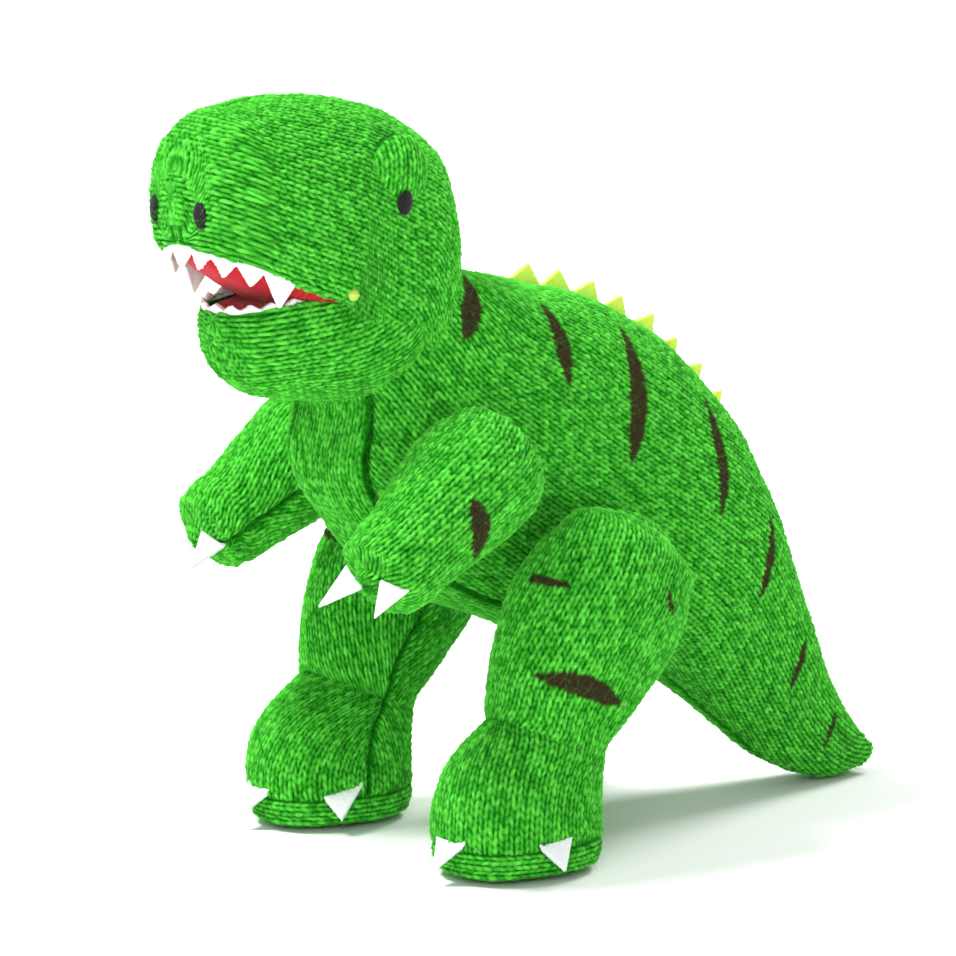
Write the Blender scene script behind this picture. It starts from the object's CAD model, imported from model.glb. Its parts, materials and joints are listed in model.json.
import math

import bpy
import numpy as np
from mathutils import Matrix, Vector
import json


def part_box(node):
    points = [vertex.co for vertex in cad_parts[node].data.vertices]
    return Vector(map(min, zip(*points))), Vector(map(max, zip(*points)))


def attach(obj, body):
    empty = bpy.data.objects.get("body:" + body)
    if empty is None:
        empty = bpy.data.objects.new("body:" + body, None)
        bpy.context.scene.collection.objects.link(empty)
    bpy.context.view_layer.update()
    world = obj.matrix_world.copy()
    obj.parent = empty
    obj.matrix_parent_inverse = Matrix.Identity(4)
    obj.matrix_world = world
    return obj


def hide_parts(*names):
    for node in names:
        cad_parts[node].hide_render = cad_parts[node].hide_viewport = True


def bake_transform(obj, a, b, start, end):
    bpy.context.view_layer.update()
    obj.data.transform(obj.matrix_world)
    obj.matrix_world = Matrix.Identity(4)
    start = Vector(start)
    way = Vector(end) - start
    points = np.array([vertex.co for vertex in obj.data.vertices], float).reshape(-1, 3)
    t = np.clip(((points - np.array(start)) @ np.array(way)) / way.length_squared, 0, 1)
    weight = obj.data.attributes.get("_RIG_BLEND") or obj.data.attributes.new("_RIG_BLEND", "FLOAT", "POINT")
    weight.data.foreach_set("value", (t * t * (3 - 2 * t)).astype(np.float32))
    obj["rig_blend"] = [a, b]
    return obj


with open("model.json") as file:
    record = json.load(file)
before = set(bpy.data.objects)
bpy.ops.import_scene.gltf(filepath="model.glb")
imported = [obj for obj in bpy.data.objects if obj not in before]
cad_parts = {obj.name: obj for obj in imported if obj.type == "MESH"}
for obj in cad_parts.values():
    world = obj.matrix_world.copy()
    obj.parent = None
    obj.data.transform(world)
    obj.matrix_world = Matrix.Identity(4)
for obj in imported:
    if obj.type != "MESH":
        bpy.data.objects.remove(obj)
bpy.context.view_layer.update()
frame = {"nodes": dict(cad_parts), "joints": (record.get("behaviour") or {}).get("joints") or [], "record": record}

MM = 0.001
# The knit, in millimetres: width and height of a stitch, how far its crest stands up, and the mesh step
WALE, COURSE, RELIEF, STEP = 2.8, 2.15, 1.6, 0.42
# Each stitch has two legs: the courses that one spans, and half its strand's width as a share of a column
LEG_REACH, STRAND = 1.95, 0.27
# How far apart the two legs are at the foot of a stitch, and how much farther at its top
LEG_GAP, LEG_SPREAD = 0.12, 0.27
# The furrow along a sewn seam, and a distance at which a seam no longer shows
SEAM_DEPTH, SEAM_WIDTH, FAR_FROM_SEAM = 1.5, 1.3, 9.0
# Exponents of the body's and of the rounder pieces' cross-sections: 2 is an ellipse
BODY_SQUARENESS, ROUND_SQUARENESS = 2.7, 2.2
# The mouth: fall of the cheek behind its corner, bag of its roof, and the radius at which its lips turn in
CHEEK_SLANT, ROOF_SAG, LIP_ROLL = 1.9, 6.8, 1.5
# The chest gusset: half width in millimetres, greatest share of the body's half width, and where it narrows
GUSSET_HALF, GUSSET_SHARE, GUSSET_TAPER, GUSSET_END = 17.0, 0.62, 0.32, 1.5
# The raised eye patch: centre across, half sizes out of the head, along it and up, and lean in degrees
PATCH_X, PATCH_HALF, PATCH_LEAN = 19.5, (8.2, 9.7, 11.2), 8
# The right arm is sewn on farther in and farther back than the left
RIGHT_ARM_SHIFT = (2.5, 5.5, 0)
# Loose fibres: how many for each point of the mesh, and how thick
FUZZ_DENSITY, FUZZ_WIDTH = 0.09, 0.045
# Filling is drawn this far in from its CAD solid, so that it stays covered when the skins bend
FILLING_INSET = 3.2

joints = {joint["name"]: joint for joint in frame["joints"]}
record = frame["record"]
NECK = np.array(joints["neck_nod"]["pos_m"]) / MM
JAW = np.array(joints["jaw_open"]["pos_m"]) / MM
TAIL = np.array(joints["tail_swing"]["pos_m"]) / MM
NECK_FORWARD = np.array((0, -0.69, 0.724))
TAIL_FORWARD = np.array((0, 0.707, -0.707))
# How far from the middle of its furrow the knit of the foot and of the sole stops
SOLE_SEAM = 1.1
# The two lips at the hinge line, and how they rise and fall forward of it
LIP_TOP, LIP_RISE = JAW[2] + 12.8, math.tan(math.radians(22.5))
CHIN_TOP, CHIN_FALL = JAW[2] + 12.5, math.tan(math.radians(8))

# Sections of the smooth forms in millimetres: back y, z, belly y, z, half width
TRUNK = np.array((
    (-52, 170, -78, 138, 23),
    (-33, 159, -72, 124, 25.5),
    (-15, 154.5, -75, 108, 29),
    (12, 147.5, -66, 90, 30.4),
    (35, 135.5, -49, 74, 30.5),
    (52, 120, -22, 61.5, 30.4),
    (65, 104, 8, 50.5, 29.3),
    (75, 86, 32.5, 44, 26.5),
    (84, 67, 51.5, 32, 21.5),
    (93, 48.5, 68.5, 18.5, 16.5),
    (102.5, 30, 86.5, 6, 12),
    (114, 14.5, 105, 0.6, 7.8),
    (120.5, 8.5, 116, 1.8, 4),
))
TAIL_ROW = 7
HEAD = np.array((
    (-121, 190, -120.5, 176, 6),
    (-119.5, 197, -119, 167, 12.5),
    (-114, 203.5, -114, 159, 19),
    (-102, 207.5, -103, 151, 24),
    (-86, 208.5, -92, 143, 26.5),
    (-70, 207, -83, 134, 27.5),
    (-55, 202, -78, 128.5, 27.5),
    (-42, 193, -74, 126, 26.5),
    (-37, 178, -70.5, 124.5, 25),
    (-36, 160, -69, 123, 24.8),
    (-23, 147, -58, 111, 24.5),
))
CHIN = np.array((
    (-108, 155, -107.5, 143, 6),
    (-106, 158, -105.5, 137, 11.5),
    (-101, 161, -100, 131.5, 16.5),
    (-92, 163, -90.5, 128.3, 21.2),
    (-81, 163, -80, 127, 25),
    (-72, 161, -71, 126.5, 26.6),
    (-62, 160, -62, 128, 26),
    (-52, 158, -54, 132, 23),
))
# Limbs on the left side: centre, half width across the body, half width along it
ARM = np.array((
    (38.8, -41, 116, 5, 5),
    (39, -42.5, 115, 11, 11),
    (39.5, -47, 111.5, 15.5, 15.5),
    (40.3, -55, 106.5, 17, 17),
    (42, -66, 99, 15.5, 15.5),
    (43.5, -77, 91.5, 13.2, 13.2),
    (44.5, -85, 86.5, 12, 12),
    (44.8, -88.5, 84.3, 9.5, 9.5),
    (44.9, -89.8, 83.5, 5, 5),
))
LEG = np.array((
    (44, 2, 89, 6, 9),
    (44, 0, 86.5, 12, 16),
    (44, -6, 79, 17, 22),
    (44, -14.5, 68, 18.5, 24.5),
    (43.6, -24, 54, 17.8, 22.5),
    (43.2, -30.5, 42, 16.3, 19),
    (43, -32.5, 35, 15.4, 17.1),
    (43, -34.5, 31.5, 13.6, 15),
))
FOOT = np.array((
    (43, -30.5, 39, 13, 14.2),
    (43, -32.5, 35, 15.4, 17.1),
    (43, -38, 27, 17.9, 21.6),
    (43, -41, 17, 19.4, 23.6),
    (43, -41, 8.5, 19.2, 23.7),
))
FOOT_TILTS = np.radians((-14, -14, -7, 0, 0))
SOLE = np.array((
    (43, -41, 8.5, 19.2, 23.7),
    (43, -41, 4, 18.6, 23),
    (43, -41, 1.5, 16.6, 21),
    (43, -41, 0.5, 12.5, 17),
))
# Stripes on each side: ends (y, z), width at the middle and how far the middle bulges, in millimetres
STRIPES = (
    ((-37.5, 158.9), (-46.1, 142.5), 6.4, 0.6),
    ((-15.5, 150), (-12.9, 127.5), 5, 1),
    ((12.5, 141), (8.2, 104), 6.6, 2.2),
    ((41.7, 119), (41.5, 86), 4.2, 1.6),
    ((64, 83.5), (59.5, 60), 3.6, 1),
    ((83.5, 45), (77.8, 31), 3, 0.5),
    ((100.7, 21), (95.9, 10.5), 1.8, 0.3),
)
ARM_STRIPES = (((-66.6, 105.5), (-63.7, 88), 6.6, 1.5),)
LEG_STRIPES = (
    ((-43.6, 55), (-19, 45), 6.2, 1.5),
    ((-50, 82.5), (-32, 78), 3.6, 0.5),
    ((-3.6, 75), (-1.8, 67.5), 2, 0.3),
)

# How far a stripe's edge follows whole strands: 0 is a clean line
STRIPE_SNAP = 0.4

SIDES = ((1, "left"), (-1, "right"))
# The knitted pieces with what their fibres need, and how each piece follows the bodies
hairs, riders, bent = [], {}, {}


def hermite(values, count, start=0.0, end=None, limb=False):
    """A smooth run through station values at count places, between two station numbers."""
    centres = values[:, :3] if limb else (values[:, :2] + values[:, 2:4]) / 2
    knots = np.concatenate([[0], np.cumsum(np.linalg.norm(np.diff(centres, axis=0), axis=1))])
    end = len(values) - 1 if end is None else end
    numbers = np.arange(len(values))
    at = np.linspace(np.interp(start, numbers, knots), np.interp(end, numbers, knots), count)
    slope = np.gradient(values, knots, axis=0)
    i = np.clip(np.searchsorted(knots, at, side="right") - 1, 0, len(knots) - 2)
    h = (knots[i + 1] - knots[i])[:, None]
    t = (at - knots[i])[:, None] / h
    low, high = values[i], values[i + 1]
    bend = slope[i] * h, slope[i + 1] * h
    made = (1 + 2 * t) * (1 - t) ** 2 * low + t * (1 - t) ** 2 * bend[0]
    return made + t * t * (3 - 2 * t) * high - t * t * (1 - t) * bend[1]


def smooth(share):
    return share * share * (3 - 2 * share)


def signed_power(value, exponent):
    return np.sign(value) * np.abs(value) ** exponent


def half_sections(rows, squareness, side, samples=361):
    """Polylines from the top middle round one side to the bottom middle, one for each row."""
    turn = np.linspace(math.pi / 2, -math.pi / 2, samples)
    out = np.abs(np.cos(turn)) ** (2 / squareness)
    rise = signed_power(np.sin(turn), 2 / squareness)
    top, bottom = rows[:, None, 0:2], rows[:, None, 2:4]
    middle, up = (top + bottom) / 2, (top - bottom) / 2
    points = np.empty((len(rows), samples, 3))
    points[..., 0] = side * rows[:, None, 4] * out
    points[..., 1:] = middle + up * rise[None, :, None]
    return points


def rounded(rows, depth, steps):
    """Rows that close the first row's end: they shrink to a point while moving out by depth."""
    first, second = rows[0], rows[1]
    middle = (first[0:2] + first[2:4]) / 2
    out = middle - (second[0:2] + second[2:4]) / 2
    out = out / np.linalg.norm(out)
    made = []
    for lean in np.linspace(1, 0, steps, endpoint=False):
        shrink = max(math.sqrt(1 - lean * lean), 0.02)
        centre = middle + out * depth * lean
        top = centre + (first[0:2] - middle) * shrink
        bottom = centre + (first[2:4] - middle) * shrink
        made.append((*top, *bottom, first[4] * shrink))
    return np.concatenate([np.array(made), rows])


def along(points):
    """Distance along the last-but-one axis of a run of points."""
    steps = np.linalg.norm(np.diff(points, axis=-2), axis=-1)
    zero = np.zeros(steps.shape[:-1] + (1,))
    return np.concatenate([zero, np.cumsum(steps, axis=-1)], axis=-1)


def resampled(lines, start, stop, columns):
    """Each polyline again as evenly spaced points between two of its own distances."""
    reach = along(lines)
    made = np.empty((len(lines), columns, 3))
    at = np.empty((len(lines), columns))
    for r in range(len(lines)):
        at[r] = np.linspace(start[r], stop[r], columns)
        for k in range(3):
            made[r, :, k] = np.interp(at[r], reach[r], lines[r, :, k])
    return made, at


def down(grid):
    """Distance down each column of a grid, from its first row."""
    return along(np.swapaxes(grid, 0, 1)).T


def stitches(u, v, seed):
    """Height of the knit, the way along u and v to the middle of each point's own strand, and its shade."""
    wobble = np.random.default_rng(seed).random((61, 67, 5)) - 0.5
    wale = np.floor(v / WALE)
    x = v / WALE - wale - 0.5
    low = np.floor(u / COURSE)
    best = np.zeros(u.shape)
    to_u, to_v = np.zeros(u.shape), np.zeros(u.shape)
    strand = np.zeros(u.shape)
    for hand in (0, 1):
        for back in (0, 1, 2):
            course = low - back
            own = wobble[(course % 61).astype(int), ((wale * 2 + hand) % 67).astype(int)]
            t = (u / COURSE - course + 0.3 * own[..., 0]) / LEG_REACH
            inside = (t > 0) & (t < 1)
            arch = np.sin(math.pi * np.clip(t, 0, 1))
            middle = (2 * hand - 1) * (LEG_GAP + LEG_SPREAD * t) + 0.07 * own[..., 1]
            width = STRAND * (0.72 + 0.28 * arch) * (1 + 0.25 * own[..., 2])
            bulge = np.sqrt(np.clip(1 - ((x - middle) * 0.93 / width) ** 2, 0, 1))
            height = bulge * (0.25 + 0.75 * arch**0.7) * (1.08 - 0.3 * t) * (1 + 0.35 * own[..., 3])
            won = inside & (height > best)
            best = np.where(won, height, best)
            to_u = np.where(won, (0.5 - t) * LEG_REACH * COURSE, to_u)
            centre = (2 * hand - 1) * (LEG_GAP + LEG_SPREAD / 2)
            to_v = np.where(won, (centre - x) * WALE, to_v)
            strand = np.where(won, own[..., 4] + 0.5, strand)
    return best, to_u, to_v, strand


def striped(y, z, stripes):
    """1 inside a leaf-shaped stripe of the side view, 0 outside."""
    made = np.zeros(y.shape)
    for (y0, z0), (y1, z1), width, bulge in stripes:
        reach = math.hypot(y1 - y0, z1 - z0)
        dy, dz = (y1 - y0) / reach, (z1 - z0) / reach
        t = ((y - y0) * dy + (z - z0) * dz) / reach
        off = (y - y0) * -dz + (z - z0) * dy
        hump = np.clip(4 * t * (1 - t), 0, 1)
        edge = (width / 2 * hump**0.75 - np.abs(off - bulge * hump)) / 0.5 + 0.5
        made = np.maximum(made, np.clip(edge, 0, 1) * (t > 0) * (t < 1))
    return made


def lumps(p):
    """Slow rise and fall of the filling, in millimetres."""
    x, y, z = p[..., 0], p[..., 1], p[..., 2]
    made = 0.34 * np.sin(x / 5.1 + 0.8 * np.sin(y / 9)) * np.sin(y / 6.3 + 1.2) * np.sin(z / 5.7 + 0.5)
    return made + 0.3 * np.sin(x / 13 + y / 10 + 0.4) * np.sin(z / 9.5 - y / 14)


def normals(grid):
    """Unit normals of a grid of points, and its two tangents."""
    down_rows = np.gradient(grid, axis=0)
    across = np.gradient(grid, axis=1)
    made = np.cross(down_rows, across)
    return made / np.maximum(np.linalg.norm(made, axis=-1, keepdims=True), 1e-9), down_rows, across


def shifted(grid, u, v, to_u, to_v):
    """Where the middle of each point's strand is, from the grid's own slopes."""
    _, by_row, by_column = normals(grid)
    u_row, u_column = np.gradient(u, axis=0), np.gradient(u, axis=1)
    v_row, v_column = np.gradient(v, axis=0), np.gradient(v, axis=1)
    det = u_row * v_column - u_column * v_row
    det = np.where(np.abs(det) < 1e-4, 1e-4, det)
    rows = np.clip((v_column * to_u - u_column * to_v) / det, -12, 12)
    columns = np.clip((u_row * to_v - v_row * to_u) / det, -12, 12)
    return grid + by_row * rows[..., None] + by_column * columns[..., None]


def fresh(name, points, faces, material):
    mesh = bpy.data.meshes.new(name)
    mesh.from_pydata((np.asarray(points) * MM).tolist(), [], faces.tolist())
    mesh.polygons.foreach_set("use_smooth", [True] * len(mesh.polygons))
    mesh.materials.append(material)
    mesh.update()
    made = bpy.data.objects.new(name, mesh)
    bpy.context.scene.collection.objects.link(made)
    return made


def grid_faces(rows, columns, flip):
    """Quads over a grid of points, turned over where flip is true."""
    r, c = np.meshgrid(np.arange(rows - 1), np.arange(columns - 1), indexing="ij")
    d = c + 1
    faces = np.stack([r * columns + c, r * columns + d, (r + 1) * columns + d, (r + 1) * columns + c], -1)
    faces = faces.reshape(-1, 4)
    return faces[:, ::-1] if flip else faces


def knit(name, grid, u, v, seams, seed, stripes, out, inner_side=0, relief=RELIEF):
    """A knitted surface over a smooth grid.

    u and v are stitch coordinates and seams is the distance to a sewn edge. out is 1 or -1, the way that
    the grid's normals face. inner_side keeps the stripes off the part nearer the middle of the toy.
    """
    height, to_u, to_v, strand = stitches(u, v, seed)
    direction, _, _ = normals(grid)
    direction = direction * out
    groove = np.exp(-((seams / SEAM_WIDTH) ** 2))
    lift = relief * (height - 0.62) * (1 - 0.45 * groove) - SEAM_DEPTH * groove + lumps(grid)
    points = grid + direction * lift[..., None]
    rows, columns = u.shape
    made = fresh(name, points.reshape(-1, 3), grid_faces(rows, columns, out < 0), KNIT)
    centre = shifted(grid, u, v, to_u, to_v)
    brown = np.zeros(u.shape)
    if stripes:
        inner = abs(grid[..., 0]) < np.abs(grid[..., 0]).mean() * inner_side
        spot = grid + (centre - grid) * STRIPE_SNAP
        brown = np.where(inner, 0, striped(spot[..., 1], spot[..., 2], stripes))
    for word, values in (("height", height * (1 - 0.6 * groove)), ("brown", brown), ("strand", strand)):
        made.data.attributes.new(word, "FLOAT", "POINT").data.foreach_set(
            "value", values.reshape(-1).astype(np.float32)
        )
    hairs.append((made, points, direction, height, brown))
    return made


def steps_of(length):
    """How many mesh steps cover a length in millimetres."""
    return max(int(length / STEP), 12)


def shader_of(name, roughness, sheen, tint, specular=0.25):
    made = bpy.data.materials.new(name)
    made.use_nodes = True
    shader = made.node_tree.nodes["Principled BSDF"]
    shader.inputs["Roughness"].default_value = roughness
    shader.inputs["Specular IOR Level"].default_value = specular
    shader.inputs["Sheen Weight"].default_value = sheen
    shader.inputs["Sheen Tint"].default_value = (*tint, 1)
    shader.inputs["Sheen Roughness"].default_value = 0.4
    return made, made.node_tree, shader


def node_of(tree, kind, **values):
    made = tree.nodes.new(kind)
    for word, value in values.items():
        if hasattr(made, word):
            setattr(made, word, value)
        else:
            made.inputs[word.replace("_", " ")].default_value = value
    return made


def noise_of(tree, scale, detail=3.0):
    place = tree.nodes.new("ShaderNodeTexCoord")
    made = node_of(tree, "ShaderNodeTexNoise", Scale=scale, Detail=detail)
    tree.links.new(place.outputs["Object"], made.inputs["Vector"])
    return made


def bumped(tree, shader, source, strength, distance):
    bump = node_of(tree, "ShaderNodeBump", Strength=strength, Distance=distance)
    tree.links.new(source, bump.inputs["Height"])
    tree.links.new(bump.outputs["Normal"], shader.inputs["Normal"])


def mixed(tree, factor, first, second, kind="MIX"):
    """Colour mix: each of first and second is a colour or a socket."""
    made = tree.nodes.new("ShaderNodeMix")
    made.data_type = "RGBA"
    made.blend_type = kind
    for number, value in ((6, first), (7, second)):
        if isinstance(value, tuple):
            made.inputs[number].default_value = (*value, 1)
        else:
            tree.links.new(value, made.inputs[number])
    if isinstance(factor, float):
        made.inputs[0].default_value = factor
    else:
        tree.links.new(factor, made.inputs[0])
    return made.outputs[2]


def knit_material():
    """Fluffy yarn: dark between the strands, lighter on their crests, brown where the stripes are."""
    made, tree, shader = shader_of("knit_green", 0.95, 0.07, (0.6, 1, 0.4), 0.05)
    height = node_of(tree, "ShaderNodeAttribute", attribute_name="height")
    brown = node_of(tree, "ShaderNodeAttribute", attribute_name="brown")
    strand = node_of(tree, "ShaderNodeAttribute", attribute_name="strand")
    ramp = tree.nodes.new("ShaderNodeValToRGB")
    ramp.color_ramp.elements[0].position = 0.22
    ramp.color_ramp.elements[0].color = (0.0002, 0.035, 0.0004, 1)
    ramp.color_ramp.elements[1].position = 1.0
    ramp.color_ramp.elements[1].color = (0.105, 0.66, 0.055, 1)
    ramp.color_ramp.elements.new(0.62).color = (0.008, 0.21, 0.006, 1)
    tree.links.new(height.outputs["Fac"], ramp.inputs["Fac"])
    fine = noise_of(tree, 1300.0)
    slow = noise_of(tree, 60.0)
    speckled = mixed(tree, fine.outputs["Fac"], (0.35, 0.42, 0.35), (1.75, 1.6, 1.75))
    green = mixed(tree, 0.75, ramp.outputs["Color"], speckled, "MULTIPLY")
    patchy = mixed(tree, slow.outputs["Fac"], (0.8, 0.84, 0.8), (1.18, 1.12, 1.18))
    green = mixed(tree, 0.8, green, patchy, "MULTIPLY")
    own = mixed(tree, strand.outputs["Fac"], (0.82, 0.85, 0.82), (1.16, 1.12, 1.16))
    green = mixed(tree, 0.8, green, own, "MULTIPLY")
    dark = mixed(tree, fine.outputs["Fac"], (0.016, 0.014, 0.005), (0.055, 0.045, 0.018))
    tree.links.new(mixed(tree, brown.outputs["Fac"], green, dark), shader.inputs["Base Color"])
    bumped(tree, shader, noise_of(tree, 2300.0, 4.0).outputs["Fac"], 0.7, 0.0005)
    return made


def cloth_material(name, low, high, tint, sheen=0.3, bump=0.0003, scale=1500.0):
    """Felt or fibre: matted noise in the colour and in the surface."""
    made, tree, shader = shader_of(name, 0.95, sheen, tint)
    matted = noise_of(tree, scale, 5.0)
    tree.links.new(mixed(tree, matted.outputs["Fac"], low, high), shader.inputs["Base Color"])
    bumped(tree, shader, matted.outputs["Fac"], 0.6, bump)
    return made


def hair_material(name, colour):
    made, tree, shader = shader_of(name, 0.8, 0.1, (0.8, 1, 0.7), 0.1)
    varied = noise_of(tree, 200.0)
    low = tuple(0.75 * c for c in colour)
    high = tuple(min(1.3 * c, 1) for c in colour)
    tree.links.new(mixed(tree, varied.outputs["Fac"], low, high), shader.inputs["Base Color"])
    return made


KNIT = knit_material()
HAIR = hair_material("yarn_fibres", (0.06, 0.50, 0.03))
FELT = cloth_material("felt_white", (0.72, 0.74, 0.75), (0.93, 0.95, 0.96), (1, 1, 1))
SPIKE_FELT = cloth_material("felt_lime", (0.55, 0.82, 0.04), (0.86, 0.98, 0.20), (1, 1, 0.5))
RED_FELT = cloth_material("felt_red", (0.28, 0.002, 0.006), (0.62, 0.008, 0.02), (1, 0.4, 0.4))
THREAD = cloth_material("thread_black", (0.003, 0.003, 0.004), (0.02, 0.02, 0.022), (1, 1, 1), 0.15)
KNOT = cloth_material("thread_lime", (0.3, 0.6, 0.03), (0.75, 0.9, 0.2), (1, 1, 0.6))
FILLING = cloth_material("stuffing_fibre", (0.7, 0.7, 0.68), (0.92, 0.92, 0.9), (1, 1, 1), 0.3, 0.001, 500.0)


def joined(lines, start, stop):
    """Resamples polylines with the number of columns that the longest of them needs."""
    longest = float(np.max(stop - start))
    return resampled(lines, start, stop, steps_of(longest) + 1)


def trunk_rows(start, end):
    """Sections of the trunk between two rows of its table, one mesh step apart."""
    middles = (TRUNK[:, :2] + TRUNK[:, 2:4]) / 2
    length = np.linalg.norm(np.diff(middles, axis=0), axis=1)[int(start):int(end)].sum()
    return hermite(TRUNK, steps_of(length), start, end)


def build_torso():
    """Two side panels, and the chest gusset between the lines where they end."""
    rows = trunk_rows(0, TAIL_ROW)
    place = np.linspace(0, 1, len(rows))
    share = smooth(np.clip((1 - place) / GUSSET_TAPER, 0, 1))
    edge = np.minimum(GUSSET_HALF, rows[:, 4] * GUSSET_SHARE) * share
    made = []
    for side, word in SIDES:
        lines = half_sections(rows, BODY_SQUARENESS, side)
        reach = along(lines)
        end = reach[:, -1]
        split = np.empty(len(rows))
        low = lines.shape[1] // 2
        for r in range(len(rows)):
            split[r] = np.interp(-edge[r], -side * lines[r, low:, 0], reach[r, low:])
        grid, at = joined(lines, np.zeros(len(rows)), split)
        u = down(grid)
        v = at - end[:, None] * 0.5
        seam = np.minimum(at, split[:, None] - at)
        panel = knit("torso_side_" + word, grid, u, v, seam, 11 + side, STRIPES, -side)
        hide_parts("torso_skin_" + word)
        made.append(panel)
        if side > 0:
            first_lines, first_split, first_end = lines, split, end
    width = first_end - first_split
    columns = steps_of(2 * width.max()) + 1
    half = (columns + 1) // 2
    left, at = resampled(first_lines, first_split, first_end, half)
    right = left * np.array((-1, 1, 1))
    grid = np.concatenate([left, right[:, -2::-1]], axis=1)
    away = at - first_end[:, None]
    v = np.concatenate([away, -away[:, -2::-1]], axis=1)
    seam = width[:, None] - np.abs(v)
    keep = int(np.argmax(width < GUSSET_END)) or len(rows)
    gusset = knit("chest_panel", grid[:keep], down(grid)[:keep], v[:keep], seam[:keep], 17, (), -1)
    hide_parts("chest_gusset")
    return made + [gusset]


def build_tail():
    """The tail's two sides: their courses of stitches carry on from the body's."""
    rows = trunk_rows(TAIL_ROW, len(TRUNK) - 1)
    tip = rounded(rows[::-1], 3.0, 10)[::-1]
    before = half_sections(trunk_rows(0, TAIL_ROW), BODY_SQUARENESS, 1)
    body = resampled(before, np.zeros(len(before)), along(before)[:, -1], 9)[0]
    body_courses = down(body)[-1]
    made = []
    for side, word in SIDES:
        lines = half_sections(tip, BODY_SQUARENESS, side)
        end = along(lines)[:, -1]
        grid, at = joined(lines, np.zeros(len(tip)), end)
        share = np.linspace(0, 1, grid.shape[1])
        u = down(grid) + np.interp(share, np.linspace(0, 1, len(body_courses)), body_courses)
        v = at - end[:, None] * 0.5
        seam = np.minimum(at, end[:, None] - at)
        made.append(knit("tail_" + word, grid, u, v, seam, 11 + side, STRIPES, -side))
    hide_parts("tail_skin")
    return made


def lip_cut(lines, level, slope, above):
    """How far along each polyline the mouth's plane is first crossed, and whether it is."""
    reach = along(lines)
    lip = level + (JAW[1] - lines[..., 1]) * slope
    if above:
        gone = (lines[..., 1] < JAW[1]) & (lines[..., 2] < lip)
    else:
        gone = lines[..., 2] > lip
    first = np.argmax(gone, axis=1)
    first = np.where(gone.any(axis=1), first, lines.shape[1] - 1)
    cut = reach[np.arange(len(lines)), first]
    return cut, gone.any(axis=1)


def rolled(grid, u, v, seam, side, turns=6):
    """Adds columns that turn inwards at a lip: across the mouth at its sides, and back at its front."""
    inward = np.zeros((len(grid), 3))
    inward[:, 0] = -side * np.clip(np.abs(grid[:, -1, 0]) / 8, 0, 1)
    inward[:, 1] = np.sqrt(1 - inward[:, 0] ** 2)
    extra = []
    last = grid[:, -1]
    before = last - grid[:, -2]
    before = before / np.maximum(np.linalg.norm(before, axis=-1, keepdims=True), 1e-6)
    for i in range(1, turns + 1):
        angle = math.pi / 2 * i / turns
        over = before * LIP_ROLL * math.sin(angle) + inward * LIP_ROLL * (1 - math.cos(angle)) * 1.6
        extra.append(last + over)
    extra = np.stack(extra, axis=1)
    more = STEP * np.arange(1, turns + 1)
    grid = np.concatenate([grid, extra], axis=1)
    u = np.concatenate([u, np.repeat(u[:, -1:], turns, 1)], axis=1)
    v = np.concatenate([v, v[:, -1:] - more], axis=1)
    seam = np.concatenate([seam, np.repeat(seam[:, -1:], turns, 1)], axis=1)
    return grid, u, v, seam


def wrapped(grid, front, turn):
    """Distance along a column of stitches: across the face ahead of y = turn, and back behind it."""
    u = down(grid)
    first = np.argmax(grid[..., 1] > turn, axis=0)
    columns = np.arange(grid.shape[1])
    u = u - u[first, columns] + np.abs(grid[first, columns, 0])
    return u * (1 - front) + np.abs(grid[..., 0]) * front


def build_head():
    """Two sides that meet over the head. Columns of stitches run back from the face, level with the lip."""
    rows = rounded(hermite(HEAD, steps_of(165)), 2.2, 12)
    made = []
    for side, word in SIDES:
        lines = half_sections(rows, ROUND_SQUARENESS, side)
        cut, crossed = lip_cut(lines, LIP_TOP, LIP_RISE, True)
        reach = along(lines)
        height = np.array([np.interp(cut[r], reach[r], lines[r, :, 2]) for r in range(len(rows))])
        lip_rows = crossed & (height > LIP_TOP - 0.5)
        level = cut / reach[:, -1]
        last = np.max(np.nonzero(lip_rows)[0])
        beyond = np.clip(np.arange(len(rows)) - last, 0, None) * STEP
        cut = np.minimum(cut, cut[last] + CHEEK_SLANT * beyond)
        level = np.where(lip_rows, level, 0)
        level[last:] = level[last]
        grid, at = joined(lines, np.zeros(len(rows)), cut)
        rise = grid[..., 2] - (LIP_TOP + (JAW[1] - grid[..., 1]) * LIP_RISE)
        arc = (level * reach[:, -1])[:, None] - at
        front = smooth(np.clip((grid[..., 1] + 100) / -12, 0, 1))
        v = arc * (1 - front) + rise * front
        u = wrapped(grid, front, -106)
        seam = np.where(front > 0.5, FAR_FROM_SEAM, at)
        grid, u, v, seam = rolled(grid, u, v, seam, side)
        made.append(knit("head_" + word, grid, u * side, v, seam, 23, (), -side))
    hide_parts("head_skin")
    return made


def build_jaw():
    """The lower jaw's two sides, joined under the chin."""
    rows = rounded(hermite(CHIN, steps_of(62)), 2.0, 10)
    made = []
    for side, word in SIDES:
        lines = half_sections(rows, ROUND_SQUARENESS, side)[:, ::-1]
        cut, _ = lip_cut(lines, CHIN_TOP, -CHIN_FALL, False)
        grid, at = joined(lines, np.zeros(len(rows)), cut)
        fall = CHIN_TOP - (JAW[1] - grid[..., 1]) * CHIN_FALL - grid[..., 2]
        arc = cut[:, None] - at
        front = np.clip((grid[..., 1] + 92) / -12, 0, 1)
        v = arc * (1 - front) + fall * front
        u = wrapped(grid, front, -98)
        seam = np.full(grid.shape[:2], FAR_FROM_SEAM)
        grid, u, v, seam = rolled(grid, u, v, seam, side)
        made.append(knit("jaw_" + word, grid, u * side, -v, seam, 29, (), side))
    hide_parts("jaw_skin")
    return made


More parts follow.
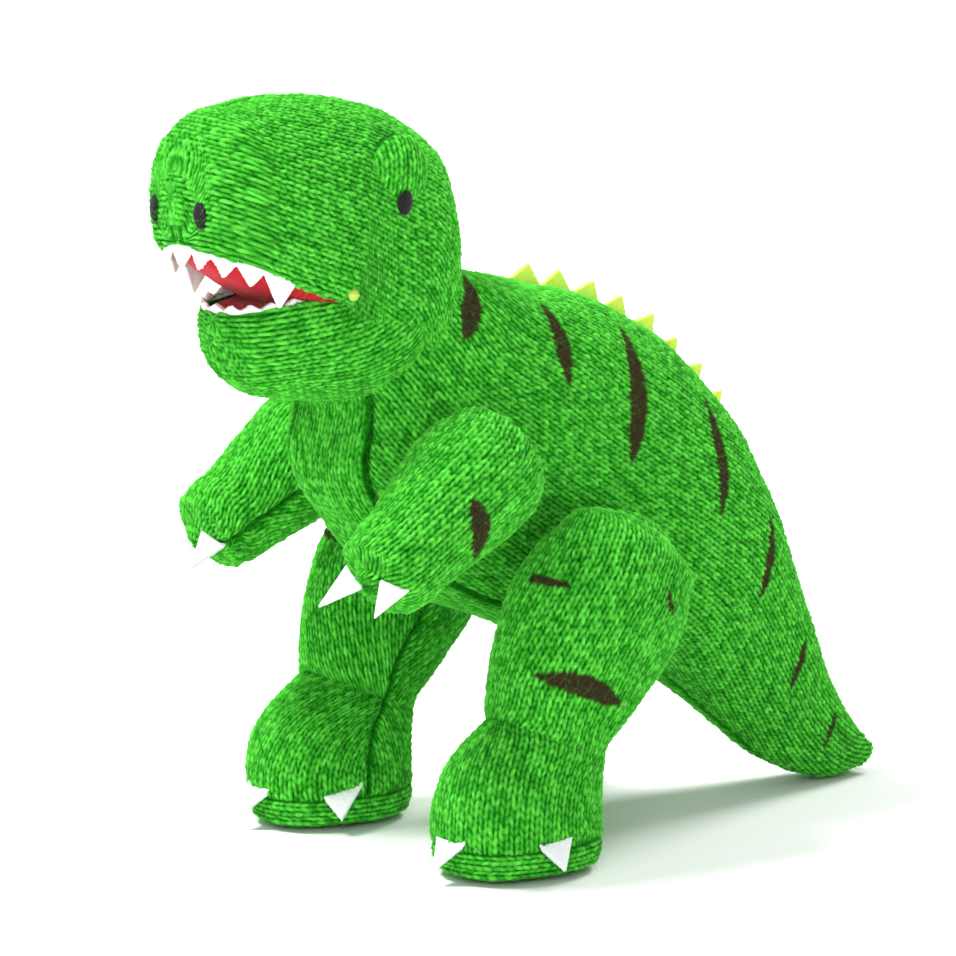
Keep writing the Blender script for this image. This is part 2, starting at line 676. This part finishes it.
def facing(grid):
    """1 where a closed limb's grid normals face out, -1 where they face in."""
    normal = np.cross(np.gradient(grid, axis=0)[5, 5], np.gradient(grid, axis=1)[5, 5])
    return 1 if np.dot(normal, grid[5, 5] - grid[5].mean(0)) > 0 else -1


def ring_grid(rows, tilts, side):
    """Loops round a limb: across is square to the limb's line, or level with tilts where these are given."""
    centres = rows[:, :3] * np.array((side, 1, 1))
    if tilts is None:
        line = centres[-len(centres) // 5] - centres[len(centres) // 5]
        line = line / np.linalg.norm(line)
        across = np.array((1.0, 0, 0)) - line * line[0]
        across = across / np.linalg.norm(across)
        across = np.repeat(across[None], len(rows), 0)
        lengthwise = np.cross(line, across)
    else:
        across = np.repeat(np.array(((1.0, 0, 0),)), len(rows), 0)
        lengthwise = np.stack([0 * tilts, np.cos(tilts), np.sin(tilts)], -1)
    turn = np.linspace(0, 2 * math.pi, 721)
    power = 2 / ROUND_SQUARENESS
    cos, sin = signed_power(np.cos(turn), power), signed_power(np.sin(turn), power)
    wide = across * rows[:, 3:4] * side
    long = lengthwise * rows[:, 4:5]
    lines = centres[:, None] - wide[:, None] * cos[None, :, None] + long[:, None] * sin[None, :, None]
    reach = along(lines)[:, -1]
    return resampled(lines, np.zeros(len(rows)), reach, steps_of(reach.max()) + 1) + (reach,)


def tube(name, rows, tilts, side, seed, stripes, from_edge, to_edge, shift=(0, 0, 0)):
    """A knitted limb, its seam on the body side. The edges are how far its ends are from their seams."""
    grid, at, reach = ring_grid(rows, tilts, side)
    grid = grid + np.array(shift)
    u = down(grid)
    v = at - reach[:, None] / 2
    edges = np.minimum(u + from_edge, u[-1:] - u + to_edge)
    seam = np.minimum(edges, np.minimum(at, reach[:, None] - at) + 0.6)
    return knit(name, grid, u, v, seam, seed, stripes, facing(grid), 1)


def closed_ends(rows, first, last):
    """Rounds off one or both ends of a limb's rows, by the given depths in millimetres."""
    made = rows
    for depth, at_start in ((first, True), (last, False)):
        if not depth:
            continue
        run = made if at_start else made[::-1]
        out = run[0, :3] - run[3, :3]
        out = out / np.linalg.norm(out)
        extra = []
        for lean in np.linspace(1, 0, 10, endpoint=False):
            shrink = max(math.sqrt(1 - lean * lean), 0.03)
            extra.append((*(run[0, :3] + out * depth * lean), run[0, 3] * shrink, run[0, 4] * shrink))
        run = np.concatenate([np.array(extra), run])
        made = run if at_start else run[::-1]
    return made


def build_limbs():
    for side, word in SIDES:
        shift = (0, 0, 0) if side > 0 else RIGHT_ARM_SHIFT
        rows = closed_ends(hermite(ARM, 150, limb=True), 1.5, 2.0)
        ends = FAR_FROM_SEAM, FAR_FROM_SEAM
        arm = tube("arm_" + word, rows, None, side, 31 + side, ARM_STRIPES, *ends, shift)
        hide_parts("arm_skin_" + word)
        rides(arm, "arm_" + word)
        rows = closed_ends(hermite(LEG, 170, limb=True), 2.0, 0)
        leg = tube("leg_" + word, rows, None, side, 37 + side, LEG_STRIPES, FAR_FROM_SEAM, 0)
        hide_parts("leg_skin_" + word)
        rides(leg, "leg_" + word)
        rows = hermite(FOOT, 85, limb=True)
        tilts = np.interp(rows[:, 2], FOOT[::-1, 2], FOOT_TILTS[::-1])
        foot = tube("foot_" + word, rows, tilts, side, 41 + side, (), 0, SOLE_SEAM)
        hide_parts("foot_skin_" + word)
        rides(foot, "leg_" + word)
        sole = build_sole("sole_knit_" + word, side, 45 + side)
        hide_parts("sole_" + word)
        rides(sole, "leg_" + word)


def build_sole(name, side, seed):
    """The sole: stitches run round its rim, then straight across underneath, where it is flat."""
    rim = hermite(SOLE, 30, limb=True)
    flat = rim[-1] * np.ones((34, 1))
    flat[:, 3:5] *= np.linspace(1, 0.02, 34)[:, None]
    rows = np.concatenate([rim, flat[1:]])
    grid, at, reach = ring_grid(rows, np.zeros(len(rows)), side)
    u = down(grid)
    under = grid[..., 2] < 1.0
    across = np.where(under, grid[..., 0], at - reach[:, None] / 2)
    deep = np.where(under, grid[..., 1], u)
    made = knit(name, grid, across, deep, u + SOLE_SEAM, seed, (), facing(grid), relief=0.9)
    for vertex in made.data.vertices:
        vertex.co.z = max(vertex.co.z, 0)
    return made


def rides(obj, body):
    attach(obj, body)
    riders[obj.name] = body


def bends(obj, a, b, start, end):
    bent[obj.name] = (a, b, [c * MM for c in start], [c * MM for c in end])
    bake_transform(obj, *bent[obj.name])


def build_patch(side, word):
    """A raised oval of knit round the eye, its columns of stitches upright."""
    low, high = (np.array(c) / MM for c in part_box("eye_patch_" + word))
    centre = np.array((side * PATCH_X, (low[1] + high[1]) / 2, (low[2] + high[2]) / 2))
    thick, wide, tall = PATCH_HALF
    turns = np.linspace(0, 2 * math.pi, 150)
    rings = np.sin(np.linspace(0.02, 1.0, 40) * math.pi / 2)
    p = rings[:, None] * np.cos(turns)[None]
    q = rings[:, None] * np.sin(turns)[None]
    out = np.sqrt(np.clip(1 - p * p - q * q, 0, 1)) ** 0.8
    grid = np.stack([side * thick * out, wide * p, tall * q], -1)
    tilt = math.radians(side * PATCH_LEAN)
    turned = grid.copy()
    turned[..., 0] = grid[..., 0] * math.cos(tilt) + grid[..., 2] * math.sin(tilt)
    turned[..., 2] = -grid[..., 0] * math.sin(tilt) + grid[..., 2] * math.cos(tilt)
    turned += centre
    edge = (1 - rings)[:, None] * np.ones(turns.shape)[None] * 30
    up, across = np.arcsin(np.clip(q, -1, 1)), np.arcsin(np.clip(p, -1, 1))
    made = knit("eye_pad_" + word, turned, tall * up, wide * across, edge, 51, (), side, relief=1.0)
    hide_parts("eye_patch_" + word)
    rides(made, "head")


def remade(node, name, voxel, rough, material, body, seed, inset=0.0):
    """A CAD piece again as rough cloth: remeshed, softened at its edges, matted and set in from the skin."""
    source = frame["nodes"][node]
    made = bpy.data.objects.new(name, source.data.copy())
    bpy.context.scene.collection.objects.link(made)
    for key in list(made.data.attributes.keys()):
        if key.startswith("_"):
            made.data.attributes.remove(made.data.attributes[key])
    remesh = made.modifiers.new("remesh", "REMESH")
    remesh.mode = "VOXEL"
    remesh.voxel_size = voxel * MM
    soft = made.modifiers.new("soft", "SMOOTH")
    soft.iterations = 2
    soft.factor = 0.5
    graph = bpy.context.evaluated_depsgraph_get()
    mesh = bpy.data.meshes.new_from_object(made.evaluated_get(graph))
    made.modifiers.clear()
    made.data = mesh
    count = len(mesh.vertices)
    co, no = np.empty(count * 3), np.empty(count * 3)
    mesh.vertices.foreach_get("co", co)
    mesh.vertices.foreach_get("normal", no)
    co, no = co.reshape(-1, 3), no.reshape(-1, 3)
    rng = np.random.default_rng(seed)
    matted = rng.random(count) - 0.5
    mesh.vertices.foreach_set("co", (co + no * ((matted * rough - inset) * MM)[:, None]).reshape(-1))
    mesh.polygons.foreach_set("use_smooth", [True] * len(mesh.polygons))
    mesh.materials.clear()
    mesh.materials.append(material)
    mesh.update()
    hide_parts(node)
    rides(made, body)
    return made


def build_roof():
    """The red roof of the mouth: it bags down between the teeth and the corners of the mouth."""
    low, high = (np.array(c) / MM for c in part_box("mouth_lining_upper"))
    count, gap = 90, 0.4
    across, deep = np.meshgrid(np.linspace(-1, 1, count), np.linspace(0, 1, count))
    half = (high[0] - low[0]) / 2 - gap
    front, back = low[1] + gap, JAW[1] - 2
    run = 1 - (1 - deep) ** 2
    y = front + (back - front) * run
    width = half * np.clip((y - front) / 26, 0, 1) ** 0.42
    x = across * width
    crown = np.clip(1 - np.abs(across) ** 2.2, 0, 1) ** 0.6
    sag = ROOF_SAG * crown * np.clip(4 * deep * (1 - deep), 0, 1) ** 0.35
    ripple = 0.25 * np.sin(x / 1.9 + y / 3.1) * np.sin(y / 2.3)
    z = LIP_TOP + np.clip(JAW[1] - y, 0, None) * LIP_RISE - 0.3 - sag + ripple
    points = np.stack([x, y, z], -1).reshape(-1, 3)
    made = fresh("mouth_roof_cloth", points, grid_faces(count, count, False), RED_FELT)
    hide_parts("mouth_lining_upper")
    rides(made, "head")
    return made


def build_felt():
    behaviour = record["behaviour"]["bodies"]
    number = 100
    for body, nodes in behaviour.items():
        for node in nodes:
            number += 1
            if "claw" in node:
                remade(node, node + "_felt", 0.4, 0.16, FELT, body, number)
            elif "stuffing" in node:
                name = node + "_fibre"
                remade(node, name, 1.6, 0.9, FILLING, body, number, FILLING_INSET)
            elif node.startswith(("eye_left", "eye_right", "nostril")):
                remade(node, node + "_thread", 0.25, 0.12, THREAD, body, number)
            elif "knot" in node:
                remade(node, node + "_yarn", 0.3, 0.5, KNOT, body, number)
    upper = remade("upper_teeth", "upper_teeth_felt", 0.35, 0.16, FELT, "head", 7)
    lower = remade("lower_teeth", "lower_teeth_felt", 0.35, 0.16, FELT, "jaw", 8)
    spikes = remade("spike_strip", "back_spikes_felt", 0.4, 0.18, SPIKE_FELT, "torso", 9)
    roof = build_roof()
    floor = remade("mouth_lining_lower", "mouth_floor_cloth", 0.45, 0.1, RED_FELT, "jaw", 11)


def fuzz(obj, points, direction, height, brown, seed):
    """Loose fibres standing off the yarn, as thin bent strips."""
    rng = np.random.default_rng(seed)
    flat = points.reshape(-1, 3)
    face = direction.reshape(-1, 3)
    chance = height.reshape(-1) * (1 - 0.7 * brown.reshape(-1))
    count = int(len(flat) * FUZZ_DENSITY)
    chosen = rng.choice(len(flat), count, p=chance / chance.sum())
    root, up = flat[chosen], face[chosen]
    side = rng.normal(size=(count, 3))
    side -= up * (side * up).sum(1, keepdims=True)
    side /= np.linalg.norm(side, axis=1, keepdims=True)
    cross = np.cross(up, side)
    length = rng.gamma(2.2, 0.95, (count, 1)).clip(0.6, 6)
    lean = rng.uniform(0.3, 1.2, (count, 1))
    curl = rng.uniform(-0.9, 0.9, (count, 1))
    edges = []
    for t in (0, 0.35, 0.7, 1.0):
        spine = root + up * (length * t * (1 - 0.45 * lean * t) - 0.2) + side * length * lean * t
        spine = spine + cross * length * curl * t * t
        wide = cross * FUZZ_WIDTH * (1 - 0.7 * t) / 2
        edges += [spine - wide, spine + wide]
    vertices = np.stack(edges, 1).reshape(-1, 3)
    base = (np.arange(count) * 8)[:, None]
    faces = np.concatenate([base + np.array((i, i + 1, i + 3, i + 2)) for i in (0, 2, 4)], 0)
    made = fresh(obj.name + "_fuzz", vertices, faces, HAIR)
    if obj.name in riders:
        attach(made, riders[obj.name])
    else:
        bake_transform(made, *bent[obj.name])


for panel in build_torso():
    bends(panel, "torso", "head", NECK - NECK_FORWARD * 14, NECK + NECK_FORWARD * 14)
for panel in build_tail():
    bends(panel, "torso", "tail", TAIL - TAIL_FORWARD * 15, TAIL + TAIL_FORWARD * 12)
for panel in build_head():
    rides(panel, "head")
for panel in build_jaw():
    bends(panel, "head", "jaw", (0, JAW[1] + 12, JAW[2]), (0, JAW[1] - 12, JAW[2]))
build_limbs()
for eye_side, eye_word in SIDES:
    build_patch(eye_side, eye_word)
build_felt()
for seed, (obj, points, direction, height, brown) in enumerate(hairs):
    fuzz(obj, points, direction, height, brown, 200 + seed)


def area_light(name, place, target, size, power):
    light = bpy.data.lights.new(name, "AREA")
    light.shape = "DISK"
    light.size = size
    light.energy = power
    made = bpy.data.objects.new(name, light)
    made.location = place
    made.rotation_euler = (Vector(target) - Vector(place)).to_track_quat("-Z", "Y").to_euler()
    bpy.context.scene.collection.objects.link(made)


def studio():
    """A white paper floor that glows away from the toy, so that it has no far edge, and soft lights."""
    floor = bpy.data.meshes.new("floor")
    far, level = 6.0, -0.0006
    corners = [(-far, -far, level), (far, -far, level), (far, far, level), (-far, far, level)]
    floor.from_pydata(corners, [], [(0, 1, 2, 3)])
    made = bpy.data.objects.new("floor", floor)
    paper, _, shader = shader_of("paper", 0.9, 0.0, (1, 1, 1))
    shader.inputs["Base Color"].default_value = (0.9, 0.9, 0.9, 1)
    shader.inputs["Emission Color"].default_value = (1, 1, 1, 1)
    place = node_of(paper.node_tree, "ShaderNodeTexCoord")
    away = node_of(paper.node_tree, "ShaderNodeVectorMath", operation="LENGTH")
    paper.node_tree.links.new(place.outputs["Object"], away.inputs[0])
    glow = node_of(paper.node_tree, "ShaderNodeMapRange", interpolation_type="SMOOTHSTEP")
    for number, value in ((1, 0.22), (2, 0.8), (3, 0.0), (4, 0.9)):
        glow.inputs[number].default_value = value
    paper.node_tree.links.new(away.outputs["Value"], glow.inputs[0])
    paper.node_tree.links.new(glow.outputs[0], shader.inputs["Emission Strength"])
    floor.materials.append(paper)
    bpy.context.scene.collection.objects.link(made)
    world = bpy.data.worlds.new("studio")
    world.use_nodes = True
    world.node_tree.nodes["Background"].inputs["Color"].default_value = (1, 1, 1, 1)
    world.node_tree.nodes["Background"].inputs["Strength"].default_value = 0.5
    bpy.context.scene.world = world
    bpy.context.scene.view_settings.view_transform = "Standard"
    area_light("key", (-0.25, -0.6, 1.15), (0, 0, 0.1), 0.35, 18)
    area_light("side", (1.0, -0.9, 0.5), (0, 0, 0.1), 0.5, 6)
    area_light("back", (-0.1, 0.9, 1.0), (0, 0, 0.12), 0.5, 12)


def photo_camera():
    azimuth, elevation, distance = math.radians(51.89), math.radians(8.76), 1.6
    level = math.cos(elevation)
    back = Vector((math.sin(azimuth) * level, -math.cos(azimuth) * level, math.sin(elevation)))
    data = bpy.data.cameras.new("camera")
    data.lens = 216.9
    data.sensor_width = 36
    data.shift_x = -0.0718
    data.shift_y = -0.0101
    data.clip_start, data.clip_end = 0.05, 20
    made = bpy.data.objects.new("camera", data)
    made.rotation_mode = "QUATERNION"
    made.location = Vector((0, 0.003, 0.1)) + back * distance
    made.rotation_quaternion = (-back).to_track_quat("-Z", "Y")
    bpy.context.scene.collection.objects.link(made)
    bpy.context.scene.camera = made


studio()
photo_camera()
